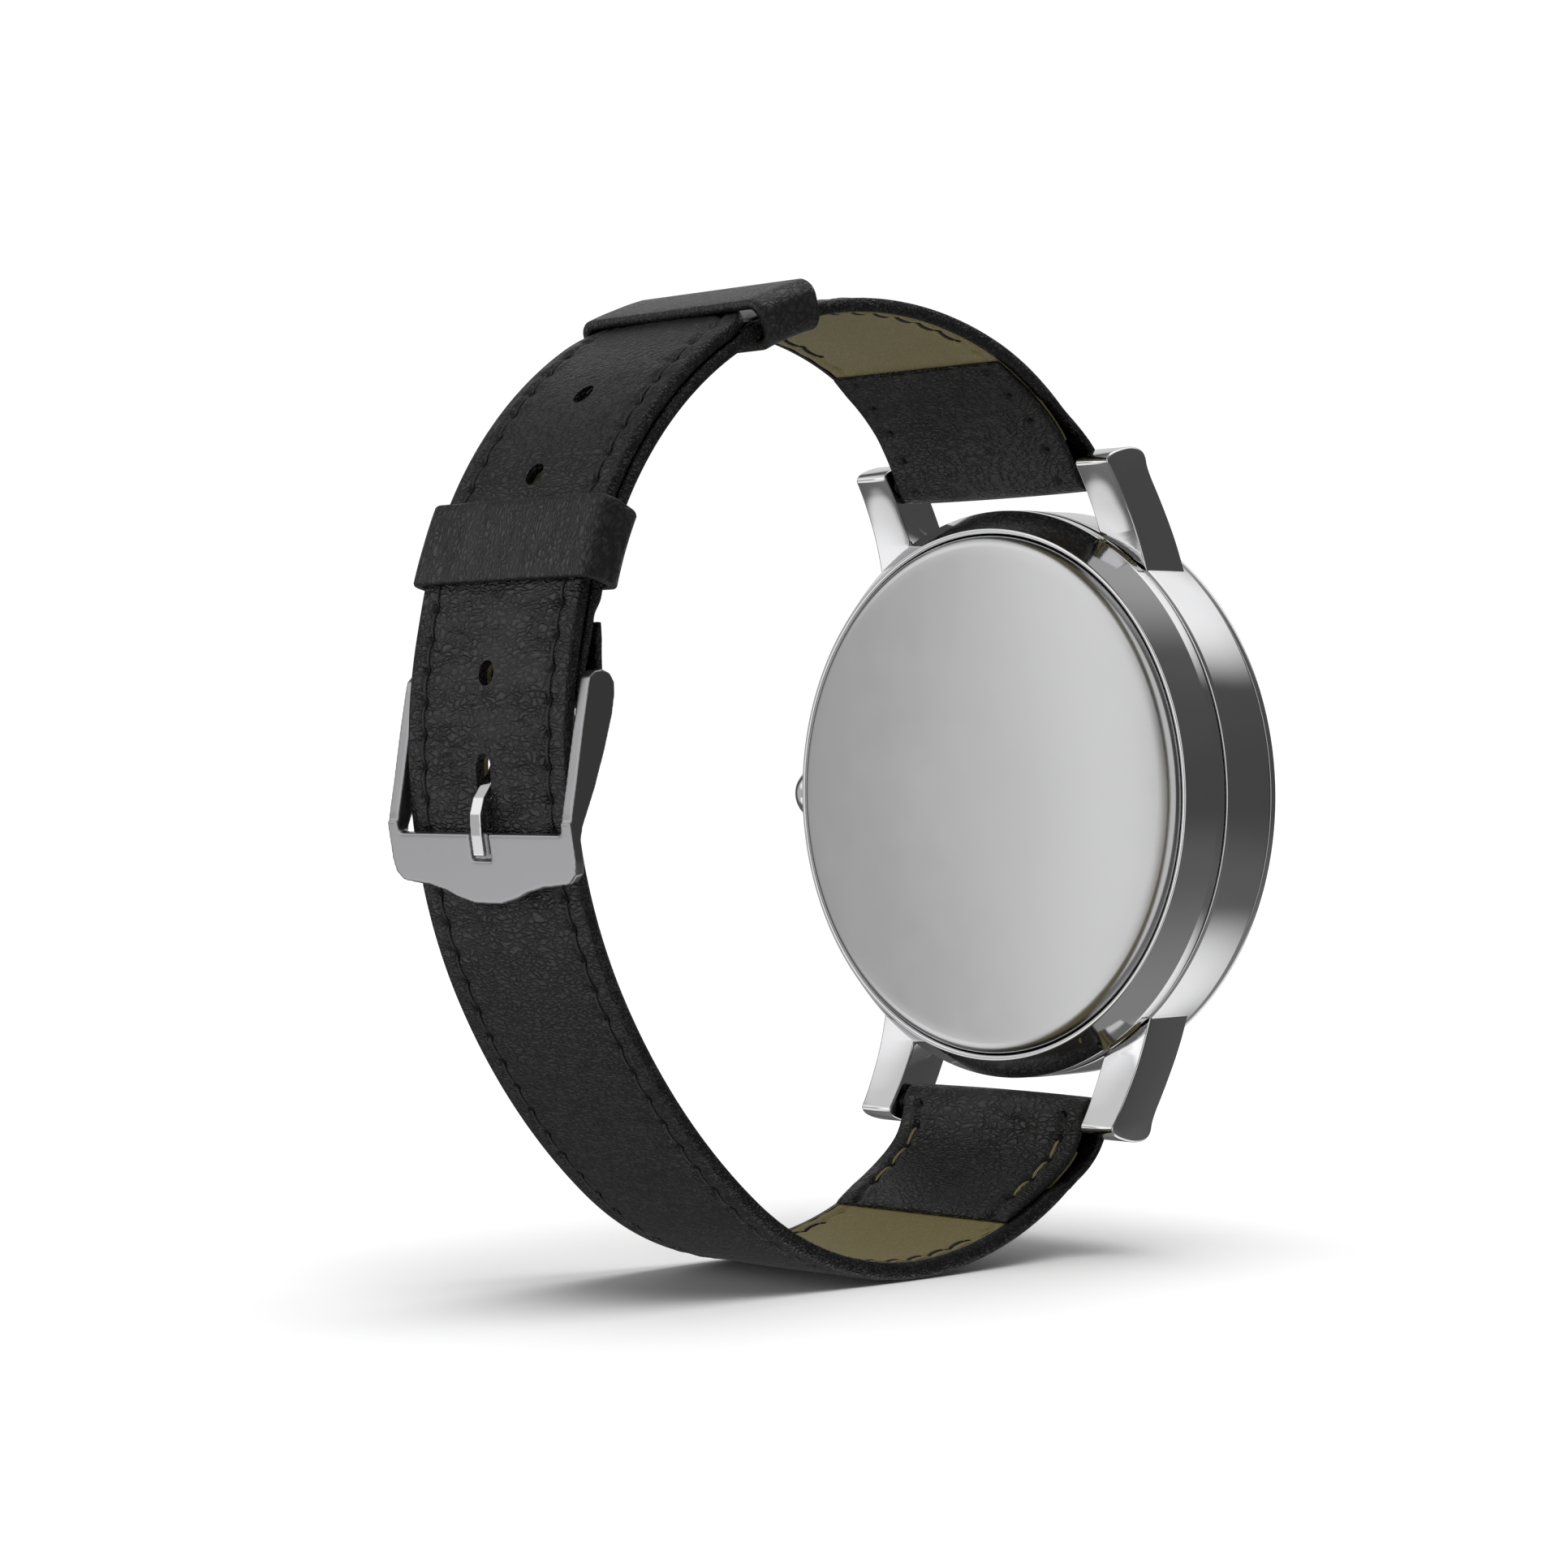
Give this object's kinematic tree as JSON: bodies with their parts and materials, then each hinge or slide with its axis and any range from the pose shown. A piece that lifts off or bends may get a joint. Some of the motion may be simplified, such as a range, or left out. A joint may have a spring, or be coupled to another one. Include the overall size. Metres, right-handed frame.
{
  "type": "smartwatch",
  "caption": "Round hybrid smartwatch with analogue hands in a polished steel case, on a buckled black leather strap with an olive lining.",
  "frame": {"origin": "centre of the outer face of the case back, where it rests on the wrist", "axes": "+Y out of the case back towards the wrist, +Z towards 12 o'clock, +X towards the crown"},
  "size_m": [0.0482, 0.0604, 0.0729],
  "materials": {
    "polished_steel": "polished",
    "satin_steel": "satin",
    "black_leather": "grained",
    "olive_lining": "suede",
    "crystal": "clear",
    "rubber": "matt",
    "white_dial": "satin",
    "brass": "satin",
    "copper": "lacquered",
    "dark_alloy": "satin",
    "black_plastic": "matt",
    "green_board": "gloss"
  },
  "bodies": {
    "case": {"back_ring": "polished_steel", "mid_case": "polished_steel", "bezel": "polished_steel", "hour_markers": "polished_steel", "activity_ring": "polished_steel", "case_back": "satin_steel", "minute_flange": "satin_steel", "crown_tube": "satin_steel", "train_bridge": "satin_steel", "plate_screw_1": "satin_steel", "plate_screw_2": "satin_steel", "plate_screw_3": "satin_steel", "radio_shield": "satin_steel", "coin_cell": "satin_steel", "vibration_motor": "satin_steel", "upper_bar_tube": "satin_steel", "lower_bar_tube": "satin_steel", "buckle_bar_tube": "satin_steel", "short_strap_leather": "black_leather", "long_strap_leather": "black_leather", "fixed_keeper": "black_leather", "short_strap_lining": "olive_lining", "long_strap_lining": "olive_lining", "crystal": "crystal", "back_gasket": "rubber", "crystal_gasket": "rubber", "dial": "white_dial", "main_plate": "brass", "antenna": "brass", "cell_clip": "brass", "motor_coil": "copper", "stator": "dark_alloy", "push_switch": "dark_alloy", "activity_motor": "dark_alloy", "movement_holder": "black_plastic", "circuit_board": "green_board"},
    "crown_slide_carrier": {"crown_plunger": "black_plastic"},
    "crown_knob": {"crown": "polished_steel", "crown_stem": "satin_steel", "crown_seal": "rubber"},
    "minute_arbor": {"minute_hand": "polished_steel", "centre_wheel": "brass"},
    "hour_pipe": {"hour_hand": "polished_steel", "hour_wheel": "brass"},
    "motion_wheel_body": {"motion_wheel": "brass"},
    "step_wheel_body": {"step_wheel": "brass"},
    "rotor_body": {"rotor": "dark_alloy"},
    "activity_pointer": {"activity_hand": "copper"},
    "vibration_rotor": {"vibration_weight": "dark_alloy"},
    "free_keeper_body": {"free_keeper": "black_leather"},
    "buckle_frame_body": {"buckle_frame": "satin_steel"},
    "buckle_tang_body": {"buckle_tang": "polished_steel"},
    "upper_left_pin": {"upper_bar_left_pin": "satin_steel"},
    "upper_right_pin": {"upper_bar_right_pin": "satin_steel"},
    "lower_left_pin": {"lower_bar_left_pin": "satin_steel"},
    "lower_right_pin": {"lower_bar_right_pin": "satin_steel"},
    "buckle_left_pin": {"buckle_bar_left_pin": "satin_steel"},
    "buckle_right_pin": {"buckle_bar_right_pin": "satin_steel"}
  },
  "joints": [
    {"name": "crown_press", "type": "slide", "parent": "case", "child": "crown_slide_carrier", "axis": [-1, 0, 0], "range_m": [0, 0.0006], "stiffness_N_per_m": 1500, "springref_m": -0.0004},
    {"name": "crown_turn", "type": "hinge", "parent": "crown_slide_carrier", "child": "crown_knob", "pos_m": [0.02455, -0.0061, 0], "axis": [1, 0, 0], "continuous": true},
    {"name": "minute_hand_turn", "type": "hinge", "parent": "case", "child": "minute_arbor", "pos_m": [0, -0.0065, 0], "axis": [0, 1, 0], "continuous": true},
    {"name": "hour_hand_turn", "type": "hinge", "parent": "case", "child": "hour_pipe", "pos_m": [0, -0.0075, 0], "axis": [0, 1, 0], "continuous": true},
    {"name": "motion_wheel_turn", "type": "hinge", "parent": "case", "child": "motion_wheel_body", "pos_m": [-0.00346, -0.0062, 0.002], "axis": [0, 1, 0], "continuous": true},
    {"name": "step_wheel_turn", "type": "hinge", "parent": "case", "child": "step_wheel_body", "pos_m": [0.0024, -0.0055, 0.00416], "axis": [0, 1, 0], "continuous": true},
    {"name": "rotor_turn", "type": "hinge", "parent": "case", "child": "rotor_body", "pos_m": [0.00349, -0.006, 0.00821], "axis": [0, 1, 0], "continuous": true},
    {"name": "activity_hand_turn", "type": "hinge", "parent": "case", "child": "activity_pointer", "pos_m": [0, -0.0081, -0.0095], "axis": [0, 1, 0], "range_deg": [-60, 240]},
    {"name": "vibration_weight_turn", "type": "hinge", "parent": "case", "child": "vibration_rotor", "pos_m": [0, -0.0027, -0.0115], "axis": [1, 0, 0], "continuous": true},
    {"name": "free_keeper_slide", "type": "hinge", "parent": "case", "child": "free_keeper_body", "pos_m": [0, 0.01845, 0.0079], "axis": [1, 0, 0], "range_deg": [-28, 10]},
    {"name": "buckle_frame_tilt", "type": "hinge", "parent": "case", "child": "buckle_frame_body", "pos_m": [0, 0.04648, 0.0079], "axis": [1, 0, 0], "range_deg": [-0.3, 2]},
    {"name": "buckle_tang_tilt", "type": "hinge", "parent": "case", "child": "buckle_tang_body", "pos_m": [0, 0.04648, 0.0079], "axis": [1, 0, 0], "range_deg": [-0.3, 2]},
    {"name": "upper_left_pin_slide", "type": "slide", "parent": "case", "child": "upper_left_pin", "axis": [1, 0, 0], "range_m": [0, 0.0012], "stiffness_N_per_m": 800, "springref_m": -0.0008},
    {"name": "upper_right_pin_slide", "type": "slide", "parent": "case", "child": "upper_right_pin", "axis": [-1, 0, 0], "range_m": [0, 0.0012], "stiffness_N_per_m": 800, "springref_m": -0.0008},
    {"name": "lower_left_pin_slide", "type": "slide", "parent": "case", "child": "lower_left_pin", "axis": [1, 0, 0], "range_m": [0, 0.0012], "stiffness_N_per_m": 800, "springref_m": -0.0008},
    {"name": "lower_right_pin_slide", "type": "slide", "parent": "case", "child": "lower_right_pin", "axis": [-1, 0, 0], "range_m": [0, 0.0012], "stiffness_N_per_m": 800, "springref_m": -0.0008},
    {"name": "buckle_left_pin_slide", "type": "slide", "parent": "case", "child": "buckle_left_pin", "axis": [1, 0, 0], "range_m": [0, 0.001], "stiffness_N_per_m": 800, "springref_m": -0.0008},
    {"name": "buckle_right_pin_slide", "type": "slide", "parent": "case", "child": "buckle_right_pin", "axis": [-1, 0, 0], "range_m": [0, 0.001], "stiffness_N_per_m": 800, "springref_m": -0.0008}
  ],
  "couplings": [
    {"joint": "hour_hand_turn", "follows": "minute_hand_turn", "ratio": 0.083333},
    {"joint": "motion_wheel_turn", "follows": "minute_hand_turn", "ratio": -0.33333},
    {"joint": "step_wheel_turn", "follows": "minute_hand_turn", "ratio": -5},
    {"joint": "rotor_turn", "follows": "minute_hand_turn", "ratio": 30},
    {"joint": "buckle_tang_tilt", "follows": "buckle_frame_tilt", "ratio": 1}
  ]
}
